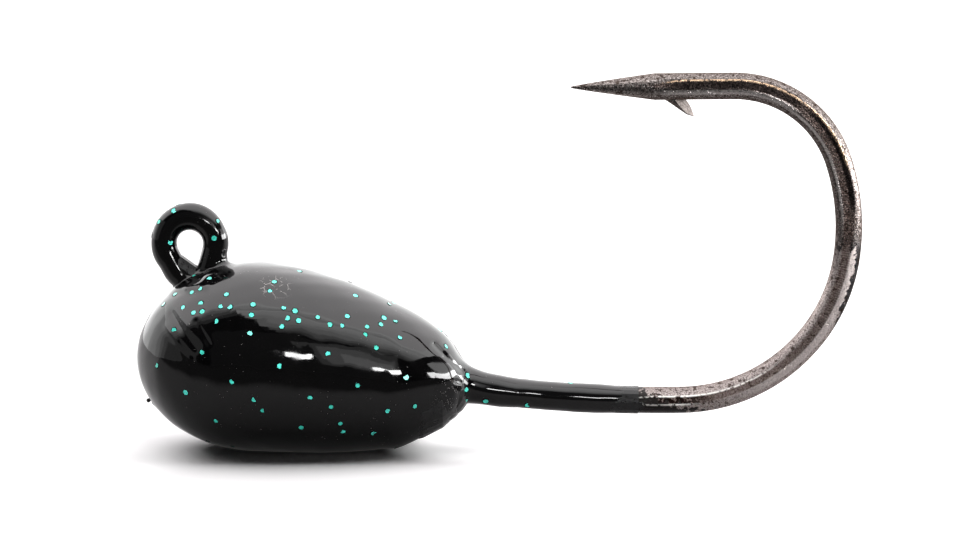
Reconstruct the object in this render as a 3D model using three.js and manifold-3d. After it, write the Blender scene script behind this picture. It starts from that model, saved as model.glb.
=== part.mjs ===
// A jig head for fishing: a teardrop weight fixed on a forged jig hook, under a painted coat.
// Millimetres, +Z up. The belly rests on Z = 0, the nose points to -X and the hook's bend to +X.
// The hook lies in the plane Y = 0.
import * as THREE from "three";
import { mergeVertices } from "three/addons/utils/BufferGeometryUtils.js";
import Module from "manifold-3d";

const wasm = await Module();
wasm.setup();

const DEG = Math.PI / 180;

// ---- driving dimensions ----

// Hook wire. Each stretch has a length, and a bent one also a turn in degrees, towards the point.
const WIRE_RADIUS = 0.445;
const JIG_BEND_RADIUS = 1.0;
const JIG_BEND_TURN = 59.6;
const LEG_LENGTH = 2.16;
const SHANK_LENGTH = 8.0;
const SWEEP = { radius: 48.6, turn: 7.2 };
const HEEL = { radius: 5.57, turn: 82.2 };
const BACK = { radius: 7.2, turn: 25.9 };
const CROWN = { radius: 3.68, turn: 71.6 };
const POINT_LENGTH = 5.36;
const TAPER_LENGTH = 2.75;
const TAPER_CURVE = 0.9;
const TIP_RADIUS = 0.035;
const LEG_HEADING = -66;
// The wire's skin starts a little before the leg, inside the ring.
const WIRE_STARTS = -0.2;

// Forging presses a flat on both sides of the bend: half the wire's thickness between the flats,
// and the stretch along the wire where they lie.
const FORGED_HALF = 0.38;
const FORGING_STARTS = 15.5;
const FORGING_RUN_IN = 4;
const FORGING_ENDS_BEFORE_TIP = 2.8;
const FORGING_RUN_OUT = 2.5;

// Barb, measured back from the tip of the point.
const BARB_TIP_BACK = 4.05;
const BARB_ROOT_BACK = 3.55;
const BARB_FRONT_BACK = 2.85;
const BARB_WIDTH = 0.36;
// Depths of its outline below the middle of the wire, at the tip, the root, the belly and the front.
const BARB_TIP_DROP = 0.97;
const BARB_ROOT_DROP = 0.25;
const BARB_BELLY_DROP = 0.72;
const BARB_FRONT_DROP = 0.4;
const BARB_BURIED_DROP = 0.3;

// Line eye: a teardrop ring of the same wire, drawn thinner, closed on the top of the leg.
const EYE_CENTRE = new THREE.Vector3(-3.9, 0, 6.96);
const EYE_RADIUS = 0.86;
const EYE_LIMB_ANGLE = 30;
const EYE_WIRE_RADIUS = 0.37;
// The ring's two halves overlap by this many degrees at the top.
const EYE_OVERLAP = 8;

// Weight, to the outside of the coat.
const PEAK_X = -1.63;
const PEAK_RADIUS = 3.13;
const NOSE_LENGTH = 4.07;
const OGIVE_RADIUS = 14.3;
const TAIL_CAP_STARTS = 5.5;
const TAIL_CAP_LENGTH = 1.65;
const AXIS_HEIGHT = 3.09;
const AXIS_BEND_X = -2.4;
const AXIS_BEND_SOFTNESS = 2.5;
const AXIS_SLOPE = 0.185;
// Block that cuts the belly flat.
const BELLY_BLOCK_SIDE = 20;
const BELLY_BLOCK_HEIGHT = 4;

// Slot that lets the hook into the weight from above, and the filler that closes it.
const SLOT_HALF_WIDTH = 0.55;
const SLOT_FLOOR = 0.3;
const SLOT_FRONT = 0.85;
const FILLER_X = 4.6;
const FILLER_LENGTH = 1.0;
const FILLER_RADIUS = 1.2;

// Collar of coat around the foot of the eye.
const COLLAR_BASE_RADIUS = 1.12;
const COLLAR_TOP_RADIUS = 0.66;
const COLLAR_HEIGHT = 0.45;
const COLLAR_DEPTH = 0.7;
const COLLAR_LIFT = 0.35;
const COLLAR_FLARE_SHARE = 0.25;

// Coats: thickness on the weight and on the wire, and the hairline between two pieces.
const HAIRLINE = 0.01;
const CLEAR_ON_WEIGHT = 0.08;
const BASE_ON_WEIGHT = 0.05;
const CLEAR_ON_WIRE = 0.024;
const BASE_ON_WIRE = 0.022;
const WIRE_HAIRLINE = 0.005;
const COAT_END = 15.85;
const CLEAR_END_SHORT = 0.15;
// The coat's sleeve on the wire starts inside the weight, and its bore is cut past the sleeve's end.
const SLEEVE_STARTS = 5.0;
const BORE_PAST_END = 1;

// Glitter flakes: six-sided, sunk in the clear coat all round the weight, thinner towards the belly.
const FLAKES = 44;
const FLAKE_RADIUS = 0.115;
const FLAKE_THICKNESS = 0.02;
const FLAKE_SUNK = 0.07;
const FLAKE_POCKET_GROWTH = 0.006;
const FLAKE_POCKET_DEEPENED = 2.5;
const FLAKE_POCKET_LOWERED = 1.2;
const FLAKES_FROM_X = -4.9;
const FLAKES_TO_X = 3.6;
const FLAKES_CLEAR_OF_TOP = 24;
const FLAKES_LOWEST = 125;
const GOLDEN_TURN = 137.508;
const NUDGE = 0.01;

// Fineness of the round surfaces.
const WIRE_SIDES = 20;
const EYE_SIDES = 14;
const COLLAR_SIDES = 24;
const WEIGHT_SIDES = 30;
const BEND_STEP = 6;
const EYE_STEP = 10;
const LONGEST_STEP = 1.2;
const SHORTEST_STEP = 0.01;
const FILLER_SIDES = 22;
const FILLER_RINGS = 12;
const COLLAR_STEPS = 5;
const BARB_STEPS = 5;
const TAPER_STOPS = [0.02, 0.2, 0.4, 0.6, 0.8];
// Rings of the weight: degrees round the nose, distances behind the widest place, degrees round the cap.
const NOSE_STOPS = [4, 10, 18, 28, 38, 48, 58, 68, 79];
const BODY_STOPS = [0, 0.9, 1.8, 2.7, 3.6, 4.4, 5.0];
const CAP_STOPS = [0, 25, 45, 60, 72, 82, 87];
const TINY = 1e-6;

// ---- solids ----

function solidFrom(geometry) {
  const bare = geometry.clone();
  bare.deleteAttribute("normal");
  bare.deleteAttribute("uv");
  const merged = mergeVertices(bare);
  return new wasm.Manifold(
    new wasm.Mesh({
      numProp: 3,
      vertProperties: new Float32Array(merged.attributes.position.array),
      triVerts: new Uint32Array(merged.index.array),
    }),
  );
}

function geometryFrom(solid) {
  const mesh = solid.getMesh();
  const geometry = new THREE.BufferGeometry();
  geometry.setAttribute("position", new THREE.BufferAttribute(mesh.vertProperties, 3));
  geometry.setIndex(new THREE.BufferAttribute(mesh.triVerts, 1));
  geometry.computeVertexNormals();
  return geometry;
}

function joined(solids) {
  return solids.reduce((sum, next) => sum.add(next));
}

// A closed skin over rings of points. Each ring runs anticlockwise seen from the next ring's side.
function loft(rings) {
  const sides = rings[0].length;
  const points = rings.flat();
  const faces = [];
  for (let i = 0; i + 1 < rings.length; i++) {
    for (let j = 0; j < sides; j++) {
      const a = i * sides + j;
      const b = i * sides + ((j + 1) % sides);
      faces.push(a, b, b + sides, a, b + sides, a + sides);
    }
  }
  const first = points.push(middleOf(rings[0])) - 1;
  const last = points.push(middleOf(rings.at(-1))) - 1;
  const lastRing = (rings.length - 1) * sides;
  for (let j = 0; j < sides; j++) {
    const k = (j + 1) % sides;
    faces.push(first, k, j);
    faces.push(last, lastRing + j, lastRing + k);
  }
  const geometry = new THREE.BufferGeometry().setFromPoints(points);
  geometry.setIndex(faces);
  return solidFrom(geometry);
}

function middleOf(ring) {
  const sum = new THREE.Vector3();
  ring.forEach((point) => sum.add(point));
  return sum.divideScalar(ring.length);
}

// ---- paths in the plane Y = 0 ----

// A path of straight and bent stretches. Bent ones turn anticlockwise seen with X right and Z up.
function makePath(start, heading, stretches) {
  const parts = [];
  let point = start.clone();
  let angle = heading * DEG;
  let from = 0;
  for (const { length, radius, turn } of stretches) {
    const curve = radius ? 1 / radius : 0;
    const part = { from, length: radius ? radius * turn * DEG : length, curve, point, angle };
    parts.push(part);
    const end = along(part, part.length);
    point = end.point;
    angle = end.angle;
    from += part.length;
  }
  return { parts, length: from };
}

function along(part, distance) {
  const angle = part.angle + part.curve * distance;
  const point = part.point.clone();
  if (part.curve === 0) {
    point.x += distance * Math.cos(angle);
    point.z += distance * Math.sin(angle);
  } else {
    point.x += (Math.sin(angle) - Math.sin(part.angle)) / part.curve;
    point.z -= (Math.cos(angle) - Math.cos(part.angle)) / part.curve;
  }
  return { point, angle };
}

function placeOn(path, distance) {
  const part = path.parts.findLast((p) => p.from <= distance) ?? path.parts[0];
  return along(part, distance - part.from);
}

// Distances along a path between two ends: every joint, and even steps inside each bend.
// A step turns by no more than step degrees and a bend's step is never longer than LONGEST_STEP.
function stopsOn(path, from, to, step, extra = []) {
  const stops = [from, to, ...extra];
  for (const part of path.parts) {
    const turn = Math.abs(part.curve * part.length) / DEG;
    const stretch = turn > 0 ? part.length / LONGEST_STEP : 0;
    const steps = Math.max(1, Math.ceil(turn / step), Math.ceil(stretch));
    for (let i = 0; i <= steps; i++) stops.push(part.from + (part.length * i) / steps);
  }
  const inside = stops.filter((s) => s >= from && s <= to).sort((a, b) => a - b);
  return inside.filter((s, i) => i === 0 || s - inside[i - 1] > SHORTEST_STEP);
}

// A ring of points around a place on a path. Radius is a number, or a function of the angle around.
function ringAt({ point, angle }, sides, radius) {
  const inward = new THREE.Vector3(-Math.sin(angle), 0, Math.cos(angle));
  const sideways = new THREE.Vector3(0, -1, 0);
  return Array.from({ length: sides }, (_, i) => {
    const turn = (i * 2 * Math.PI) / sides;
    const r = typeof radius === "function" ? radius(turn) : radius;
    return point
      .clone()
      .addScaledVector(inward, r * Math.cos(turn))
      .addScaledVector(sideways, r * Math.sin(turn));
  });
}

function tube(path, from, to, radius, sides, step) {
  const stops = stopsOn(path, from, to, step);
  return loft(stops.map((s) => ringAt(placeOn(path, s), sides, radius)));
}

function hookTube(from, to, radius) {
  return tube(hookPath, from, to, radius, WIRE_SIDES, BEND_STEP);
}

// ---- hook ----

const legDirection = new THREE.Vector3(Math.cos(LEG_HEADING * DEG), 0, Math.sin(LEG_HEADING * DEG));
const limbMeeting = EYE_RADIUS / Math.sin(EYE_LIMB_ANGLE * DEG);
const legStart = EYE_CENTRE.clone().addScaledVector(legDirection, limbMeeting);
const hookPath = makePath(legStart, LEG_HEADING, [
  { length: LEG_LENGTH },
  { radius: JIG_BEND_RADIUS, turn: JIG_BEND_TURN },
  { length: SHANK_LENGTH },
  SWEEP,
  HEEL,
  BACK,
  CROWN,
  { length: POINT_LENGTH },
]);

// One half of the ring's wire: from the leg along one limb and over the top. Side is 1 or -1.
function eyeHalf(radius, side) {
  const limb = limbMeeting * Math.cos(EYE_LIMB_ANGLE * DEG);
  const overTheTop = 90 + EYE_LIMB_ANGLE + EYE_OVERLAP;
  const path = makePath(new THREE.Vector3(), 90, [
    { length: limb },
    { radius: EYE_RADIUS, turn: overTheTop },
  ]);
  const half = tube(path, 0, path.length, radius, EYE_SIDES, EYE_STEP);
  const upright = new THREE.Matrix4().makeRotationY(EYE_LIMB_ANGLE * DEG);
  const turned = new THREE.Matrix4().makeRotationZ(side > 0 ? 0 : Math.PI);
  const lean = new THREE.Matrix4().makeRotationY((-90 - LEG_HEADING) * DEG);
  const place = new THREE.Matrix4().makeTranslation(legStart);
  return moved(half, place.multiply(lean).multiply(turned).multiply(upright));
}

function moved(solid, matrix) {
  return solidFrom(geometryFrom(solid).applyMatrix4(matrix));
}

function eyeRing(radius) {
  return eyeHalf(radius, 1).add(eyeHalf(radius, -1));
}

// How far the forging has gone at a distance along the wire: 0 where it is round, 1 where flat.
function forgingAt(distance) {
  const runIn = (distance - FORGING_STARTS) / FORGING_RUN_IN;
  const runOut = (hookPath.length - FORGING_ENDS_BEFORE_TIP - distance) / FORGING_RUN_OUT;
  return THREE.MathUtils.clamp(Math.min(runIn, runOut), 0, 1);
}

// Radius of the wire's section as a function of the angle around it: a circle cut by two flats.
function wireSection(distance) {
  const toTip = hookPath.length - distance;
  const taper = THREE.MathUtils.clamp(toTip / TAPER_LENGTH, 0, 1);
  const round = THREE.MathUtils.lerp(TIP_RADIUS, WIRE_RADIUS, taper ** TAPER_CURVE);
  const pressed = THREE.MathUtils.lerp(round, FORGED_HALF, forgingAt(distance));
  const flat = Math.min(round, pressed);
  return (turn) => Math.min(round, flat / Math.max(Math.abs(Math.sin(turn)), TINY));
}

function hookWire() {
  const taperStops = TAPER_STOPS.map((t) => hookPath.length - TAPER_LENGTH * t);
  const stops = stopsOn(hookPath, WIRE_STARTS, hookPath.length, BEND_STEP, taperStops);
  return loft(stops.map((s) => ringAt(placeOn(hookPath, s), WIRE_SIDES, wireSection(s))));
}

function barb() {
  const outline = new THREE.Shape();
  outline.moveTo(-BARB_FRONT_BACK, BARB_BURIED_DROP);
  outline.lineTo(-BARB_ROOT_BACK, BARB_ROOT_DROP);
  outline.lineTo(-BARB_TIP_BACK, BARB_TIP_DROP);
  outline.quadraticCurveTo(-BARB_ROOT_BACK, BARB_BELLY_DROP, -BARB_FRONT_BACK, BARB_FRONT_DROP);
  const geometry = new THREE.ExtrudeGeometry(outline, {
    depth: BARB_WIDTH,
    bevelEnabled: false,
    curveSegments: BARB_STEPS,
  });
  geometry.translate(0, 0, -BARB_WIDTH / 2);
  const tip = placeOn(hookPath, hookPath.length);
  const forward = new THREE.Vector3(Math.cos(tip.angle), 0, Math.sin(tip.angle));
  const inward = new THREE.Vector3(-Math.sin(tip.angle), 0, Math.cos(tip.angle));
  const sideways = new THREE.Vector3().crossVectors(forward, inward);
  const frame = new THREE.Matrix4().makeBasis(forward, inward, sideways);
  return solidFrom(geometry.applyMatrix4(frame.setPosition(tip.point)));
}

// ---- weight ----

function axisHeight(x) {
  const past = Math.max(0, x - AXIS_BEND_X);
  return AXIS_HEIGHT - AXIS_SLOPE * (Math.hypot(past, AXIS_BEND_SOFTNESS) - AXIS_BEND_SOFTNESS);
}

// Radius of the weight's round section at x, with the whole surface set in by inset.
function weightRadius(x, inset) {
  const radius = PEAK_RADIUS - inset;
  const past = x - PEAK_X;
  if (past < 0) return radius * Math.sqrt(Math.max(0, 1 - (past / (NOSE_LENGTH - inset)) ** 2));
  const ogive = Math.sqrt((OGIVE_RADIUS - inset) ** 2 - past ** 2) - (OGIVE_RADIUS - PEAK_RADIUS);
  const inCap = Math.max(0, past - TAIL_CAP_STARTS) / (TAIL_CAP_LENGTH - inset);
  return ogive * Math.sqrt(Math.max(0, 1 - inCap ** 2));
}

function weightPoint(x, turn, inset) {
  const radius = weightRadius(x, inset);
  return new THREE.Vector3(x, radius * Math.cos(turn), axisHeight(x) + radius * Math.sin(turn));
}

function weightStops(inset) {
  const capStart = PEAK_X + TAIL_CAP_STARTS;
  return [
    ...NOSE_STOPS.map((a) => PEAK_X - (NOSE_LENGTH - inset) * Math.cos(a * DEG)),
    ...BODY_STOPS.map((d) => PEAK_X + d),
    ...CAP_STOPS.map((a) => capStart + (TAIL_CAP_LENGTH - inset) * Math.sin(a * DEG)),
  ];
}

// The teardrop with its flat belly, its whole surface set in by inset.
function teardrop(inset) {
  const rings = weightStops(inset).map((x) =>
    Array.from({ length: WEIGHT_SIDES }, (_, i) =>
      weightPoint(x, (i * 2 * Math.PI) / WEIGHT_SIDES, inset),
    ),
  );
  const below = new THREE.BoxGeometry(BELLY_BLOCK_SIDE, BELLY_BLOCK_SIDE, BELLY_BLOCK_HEIGHT);
  below.translate(0, 0, inset - BELLY_BLOCK_HEIGHT / 2);
  return loft(rings).subtract(solidFrom(below));
}

function tailFiller(inset) {
  const sphere = new THREE.SphereGeometry(1, FILLER_SIDES, FILLER_RINGS);
  sphere.scale(FILLER_LENGTH - inset, FILLER_RADIUS - inset, FILLER_RADIUS - inset);
  const shank = placeOn(hookPath, LEG_LENGTH + JIG_BEND_RADIUS * JIG_BEND_TURN * DEG);
  const height = shank.point.z + (FILLER_X - shank.point.x) * Math.tan(shank.angle);
  sphere.translate(FILLER_X, 0, height);
  return solidFrom(sphere);
}

function collar(inset) {
  const base = COLLAR_BASE_RADIUS - inset;
  const top = COLLAR_TOP_RADIUS - inset;
  const height = COLLAR_HEIGHT - inset;
  const flare = new THREE.QuadraticBezierCurve(
    new THREE.Vector2(base, 0),
    new THREE.Vector2(top, height * COLLAR_FLARE_SHARE),
    new THREE.Vector2(top, height),
  );
  const profile = [
    new THREE.Vector2(0, -COLLAR_DEPTH),
    new THREE.Vector2(base, -COLLAR_DEPTH),
    ...flare.getPoints(COLLAR_STEPS),
    new THREE.Vector2(0, height),
  ];
  const geometry = new THREE.LatheGeometry(profile, COLLAR_SIDES);
  const up = new THREE.Vector3(0, 1, 0);
  const lean = new THREE.Quaternion().setFromUnitVectors(up, legDirection.clone().negate());
  geometry.applyQuaternion(lean);
  const foot = legStart.clone().addScaledVector(legDirection, -COLLAR_LIFT);
  geometry.translate(foot.x, foot.y, foot.z);
  return solidFrom(geometry);
}

// The outside of one layer of coat: set in by inset on the weight, standing off the wire by overWire.
function coatSurface(inset, overWire, shankEnd) {
  return joined([
    teardrop(inset),
    tailFiller(inset),
    collar(inset),
    eyeRing(EYE_WIRE_RADIUS + overWire),
    hookTube(SLEEVE_STARTS, shankEnd, WIRE_RADIUS + overWire),
  ]);
}

// ---- glitter ----

// Where flake number i lies, as a matrix that stands a cylinder on the weight's surface. Flakes step
// evenly along the weight and turn by the golden angle around it, squeezed towards the top.
function flakePlace(i) {
  const x = THREE.MathUtils.lerp(FLAKES_FROM_X, FLAKES_TO_X, (i + 0.5) / FLAKES);
  const around = (((i + 0.5) * GOLDEN_TURN) % 360) / 180 - 1;
  const fromTop = FLAKES_CLEAR_OF_TOP + (FLAKES_LOWEST - FLAKES_CLEAR_OF_TOP) * Math.abs(around);
  const turn = (90 - Math.sign(around) * fromTop) * DEG;
  const at = weightPoint(x, turn, FLAKE_SUNK);
  const lengthwise = weightPoint(x + NUDGE, turn, FLAKE_SUNK).sub(at).normalize();
  const crosswise = weightPoint(x, turn + NUDGE, FLAKE_SUNK).sub(at).normalize();
  const outward = new THREE.Vector3().crossVectors(crosswise, lengthwise).normalize();
  const across = new THREE.Vector3().crossVectors(lengthwise, outward);
  return new THREE.Matrix4().makeBasis(lengthwise, outward, across).setPosition(at);
}

function flakePrism(growth) {
  const radius = FLAKE_RADIUS + growth;
  return new THREE.CylinderGeometry(radius, radius, FLAKE_THICKNESS + 2 * growth, 6);
}

function flakeMesh(i) {
  const mesh = new THREE.Mesh(flakePrism(0), tealFoil());
  mesh.applyMatrix4(flakePlace(i));
  mesh.name = `flake_${String(i + 1).padStart(2, "0")}`;
  return mesh;
}

// The space that a flake takes in the clear coat, open to the base coat below it.
function flakePocket(i) {
  const pocket = flakePrism(FLAKE_POCKET_GROWTH);
  pocket.scale(1, FLAKE_POCKET_DEEPENED, 1);
  pocket.translate(0, -FLAKE_POCKET_LOWERED * FLAKE_THICKNESS, 0);
  return solidFrom(pocket.applyMatrix4(flakePlace(i)));
}

// ---- materials ----

function blackCoat() {
  return new THREE.MeshStandardMaterial({ color: 0x0a0a0c, roughness: 0.25, metalness: 0 });
}

function clearGloss() {
  return new THREE.MeshStandardMaterial({ color: 0x101013, roughness: 0.08, metalness: 0 });
}

function forgedSteel() {
  return new THREE.MeshStandardMaterial({ color: 0x8f8783, roughness: 0.35, metalness: 1 });
}

function tungsten() {
  return new THREE.MeshStandardMaterial({ color: 0x5c5d60, roughness: 0.6, metalness: 1 });
}

function filler() {
  return new THREE.MeshStandardMaterial({ color: 0xa89f86, roughness: 0.45, metalness: 1 });
}

function tealFoil() {
  return new THREE.MeshStandardMaterial({ color: 0x2bb59c, roughness: 0.2, metalness: 1 });
}

// ---- pieces ----

function hookSolid() {
  return joined([hookWire(), eyeRing(EYE_WIRE_RADIUS), barb()]);
}

// The hook's own space with a hairline around it.
function hookClearance() {
  const wire = hookTube(WIRE_STARTS, hookPath.length, WIRE_RADIUS + WIRE_HAIRLINE);
  return wire.add(eyeRing(EYE_WIRE_RADIUS + WIRE_HAIRLINE));
}

// Where the straight lines of the leg and the shank would meet.
function legMeetsShank() {
  const tangent = JIG_BEND_RADIUS * Math.tan((JIG_BEND_TURN / 2) * DEG);
  return legStart.clone().addScaledVector(legDirection, LEG_LENGTH + tangent);
}

// The slot: open at the top, its front parallel to the leg and its floor below the shank.
function slot(grow) {
  const corner = legMeetsShank();
  const shankAngle = (LEG_HEADING + JIG_BEND_TURN) * DEG;
  const floor = corner.z - WIRE_RADIUS - SLOT_FLOOR - grow;
  const front = corner.x - SLOT_FRONT - grow;
  const tail = PEAK_X + TAIL_CAP_STARTS + TAIL_CAP_LENGTH;
  const outline = new THREE.Shape();
  outline.moveTo(front + (EYE_CENTRE.z - floor) / Math.tan(LEG_HEADING * DEG), EYE_CENTRE.z);
  outline.lineTo(front, floor);
  outline.lineTo(tail, floor + (tail - front) * Math.tan(shankAngle));
  outline.lineTo(tail, EYE_CENTRE.z);
  outline.closePath();
  const width = 2 * (SLOT_HALF_WIDTH + grow);
  const geometry = new THREE.ExtrudeGeometry(outline, { depth: width, bevelEnabled: false });
  geometry.translate(0, 0, -width / 2);
  geometry.rotateX(Math.PI / 2);
  return solidFrom(geometry);
}

const flakeNumbers = Array.from({ length: FLAKES }, (_, i) => i);
const underCoat = BASE_ON_WEIGHT + CLEAR_ON_WEIGHT + 2 * HAIRLINE;

function weightSolid() {
  return teardrop(underCoat).subtract(slot(HAIRLINE)).subtract(tailFiller(underCoat - HAIRLINE));
}

function fillerSolid() {
  const body = teardrop(underCoat).intersect(slot(0)).add(tailFiller(underCoat));
  return body.subtract(hookClearance());
}

const baseSurface = [CLEAR_ON_WEIGHT + HAIRLINE, BASE_ON_WIRE + WIRE_HAIRLINE];

function baseCoatSolid() {
  const outside = coatSurface(...baseSurface, COAT_END);
  const inside = coatSurface(underCoat - HAIRLINE, WIRE_HAIRLINE, COAT_END + BORE_PAST_END);
  return outside.subtract(inside);
}

function clearCoatSolid() {
  const overBase = BASE_ON_WIRE + 2 * WIRE_HAIRLINE;
  const end = COAT_END - CLEAR_END_SHORT;
  const outside = coatSurface(0, overBase + CLEAR_ON_WIRE, end);
  const inside = coatSurface(CLEAR_ON_WEIGHT, overBase, COAT_END + BORE_PAST_END);
  const shell = outside.subtract(inside);
  return flakeNumbers.map(flakePocket).reduce((coat, pocket) => coat.subtract(pocket), shell);
}

function pieceMesh(name, solid, material) {
  const mesh = new THREE.Mesh(geometryFrom(solid), material);
  mesh.name = name;
  return mesh;
}

const jigHead = new THREE.Group();
jigHead.add(
  pieceMesh("hook", hookSolid(), forgedSteel()),
  pieceMesh("tungsten_weight", weightSolid(), tungsten()),
  pieceMesh("braze_filler", fillerSolid(), filler()),
  pieceMesh("base_coat", baseCoatSolid(), blackCoat()),
  pieceMesh("clear_coat", clearCoatSolid(), clearGloss()),
  ...flakeNumbers.map(flakeMesh),
);

export default jigHead;
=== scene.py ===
"""The looks of a coated jig head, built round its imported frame.

Shapes are worked out in millimetres and made into meshes in metres. The belly rests on Z = 0, the
nose points to -X, the hook's bend to +X, and the hook lies in the plane Y = 0.
"""

import math
import random

import bmesh
import bpy
import numpy as np
from mathutils import Matrix, Vector
from mathutils.bvhtree import BVHTree


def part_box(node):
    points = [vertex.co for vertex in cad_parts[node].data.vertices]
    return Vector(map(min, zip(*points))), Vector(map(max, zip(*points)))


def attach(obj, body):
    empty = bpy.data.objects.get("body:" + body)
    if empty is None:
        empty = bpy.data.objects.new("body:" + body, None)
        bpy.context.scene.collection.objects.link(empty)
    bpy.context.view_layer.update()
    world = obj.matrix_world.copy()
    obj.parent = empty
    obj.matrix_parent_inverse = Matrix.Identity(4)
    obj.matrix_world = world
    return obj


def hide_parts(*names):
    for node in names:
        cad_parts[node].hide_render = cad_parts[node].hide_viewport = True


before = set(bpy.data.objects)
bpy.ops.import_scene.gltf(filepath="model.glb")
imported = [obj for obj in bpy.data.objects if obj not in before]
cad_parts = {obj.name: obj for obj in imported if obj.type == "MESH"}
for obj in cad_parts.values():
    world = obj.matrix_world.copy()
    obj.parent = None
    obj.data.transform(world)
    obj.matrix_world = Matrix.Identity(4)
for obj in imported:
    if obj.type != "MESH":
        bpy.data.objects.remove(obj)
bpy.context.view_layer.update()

MM = 0.001
BODY = "root"

# ---- driving dimensions, in millimetres and degrees ----

WIRE_RADIUS = 0.445
LEG_HEADING = -66
EYE_RADIUS = 0.86
EYE_WIRE_RADIUS = 0.37
EYE_PAINTED_RADIUS = 0.424
EYE_LIMB_ANGLE = 30
# The ring's two halves pass each other by this many degrees at the top.
EYE_OVERLAP = 8
# Each stretch of the hook's wire: length if straight, or radius and turn if bent.
HOOK_STRETCHES = [
    (2.16, 0, 0),
    (0, 1.0, 59.6),
    (8.0, 0, 0),
    (0, 48.6, 7.2),
    (0, 5.57, 82.2),
    (0, 7.2, 25.9),
    (0, 3.68, 71.6),
    (5.36, 0, 0),
]
SHANK_FROM = 3.2
TAPER_LENGTH = 2.75
TAPER_CURVE = 0.9
TIP_RADIUS = 0.03

PEAK_X = -1.63
PEAK_RADIUS = 3.13
NOSE_LENGTH = 4.07
OGIVE_RADIUS = 14.3
AXIS_HEIGHT = 3.09
AXIS_BEND_X = -2.4
AXIS_BEND_SOFTNESS = 2.5
AXIS_SLOPE = 0.185

COAT_ON_WIRE = 0.047
COAT_END = 16.0
FIELD_STEP = 0.05
TINY = 1e-6


# ---- places taken from the frame ----


def corner(node, end):
    """The lowest (0) or highest (1) corner of a CAD node, in millimetres."""
    return np.array(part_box(node)[end]) / MM


eye_centre = np.array(
    [
        corner("hook", 0)[0] + EYE_RADIUS + EYE_WIRE_RADIUS,
        corner("clear_coat", 1)[2] - EYE_RADIUS - EYE_PAINTED_RADIUS,
    ]
)
leg_angle = math.radians(LEG_HEADING)
leg_direction = np.array([math.cos(leg_angle), math.sin(leg_angle)])
limb_meeting = EYE_RADIUS / math.sin(math.radians(EYE_LIMB_ANGLE))
leg_start = eye_centre + leg_direction * limb_meeting


# ---- paths in the plane Y = 0 ----


def lay_path(start, heading, stretches):
    """A flat path as parts of (distance done, length, curvature, start, angle)."""
    parts, at, angle, done = [], np.array(start, float), math.radians(heading), 0.0
    for length, radius, turn in stretches:
        size = math.radians(turn) * radius if radius else length
        parts.append((done, size, 1 / radius if radius else 0.0, at, angle))
        at, angle = along(parts[-1], size)
        done += size
    return parts


def along(part, distance):
    """The point and the angle at a distance along one part."""
    _, _, curve, at, angle = part
    turned = angle + curve * distance
    if curve == 0:
        return at + np.array([math.cos(angle), math.sin(angle)]) * distance, turned
    step = np.array([math.sin(turned) - math.sin(angle), math.cos(angle) - math.cos(turned)])
    return at + step / curve, turned


def path_length(parts):
    return parts[-1][0] + parts[-1][1]


def place_on(parts, distance):
    part = [p for p in parts if p[0] <= distance] or parts[:1]
    return along(part[-1], distance - part[-1][0])


def nearest_on(parts, x, z):
    """How far points lie from a path, how far along it, and how far towards its inner side."""
    best = np.full(np.broadcast(x, z).shape, np.inf)
    where, inward = np.zeros_like(best), np.zeros_like(best)
    for done, size, curve, at, angle in parts:
        dx, dz = x - at[0], z - at[1]
        if curve == 0:
            run = dx * math.cos(angle) + dz * math.sin(angle)
            side = dz * math.cos(angle) - dx * math.sin(angle)
        else:
            cx, cz = -math.sin(angle) / curve, math.cos(angle) / curve
            rx, rz = dx - cx, dz - cz
            start = math.atan2(-cz, -cx)
            turn = (np.arctan2(rz, rx) - start) * np.sign(curve)
            turn = (turn + math.pi) % (2 * math.pi) - math.pi
            run = turn / abs(curve)
            side = (1 / abs(curve) - np.hypot(rx, rz)) * np.sign(curve)
        held = np.clip(run, 0, size)
        gap = np.hypot(side, run - held)
        nearer = gap < best
        best = np.where(nearer, gap, best)
        where = np.where(nearer, done + held, where)
        inward = np.where(nearer, side, inward)
    return best, where, inward


hook_path = lay_path(leg_start, LEG_HEADING, HOOK_STRETCHES)
hook_length = path_length(hook_path)


def eye_paths():
    """The two halves of the ring's wire, each from the leg over the top of the eye."""
    limb = limb_meeting * math.cos(math.radians(EYE_LIMB_ANGLE))
    over = 90 + EYE_LIMB_ANGLE + EYE_OVERLAP
    up = LEG_HEADING + 180
    return [
        lay_path(leg_start, up - side * EYE_LIMB_ANGLE, [(limb, 0, 0), (0, side * EYE_RADIUS, side * over)])
        for side in (1, -1)
    ]


# ---- meshes ----


def new_piece(name, points, faces, materials, slot):
    """A smooth-shaded mesh from points in millimetres, riding on the one body."""
    mesh = bpy.data.meshes.new(name)
    faces = faces if isinstance(faces, list) else faces.tolist()
    mesh.from_pydata((np.asarray(points) * MM).tolist(), [], faces)
    mesh.validate()
    mesh.shade_smooth()
    for material in materials:
        mesh.materials.append(material)
    piece = bpy.data.objects.new(name, mesh)
    bpy.context.scene.collection.objects.link(piece)
    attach(piece, BODY)
    return piece


def loft(rings):
    """Points and faces of a closed skin over rings of points, with a fan at each end."""
    rings = np.asarray(rings, float)
    count, sides, _ = rings.shape
    points = np.vstack([rings.reshape(-1, 3), rings[0].mean(0), rings[-1].mean(0)])
    first, last = count * sides, count * sides + 1
    faces = []
    for i in range(count - 1):
        for j in range(sides):
            a, b = i * sides + j, i * sides + (j + 1) % sides
            faces.append((a, b, b + sides, a + sides))
    for j in range(sides):
        k = (j + 1) % sides
        faces.append((first, k, j))
        faces.append((last, (count - 1) * sides + j, (count - 1) * sides + k))
    return points, faces


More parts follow.
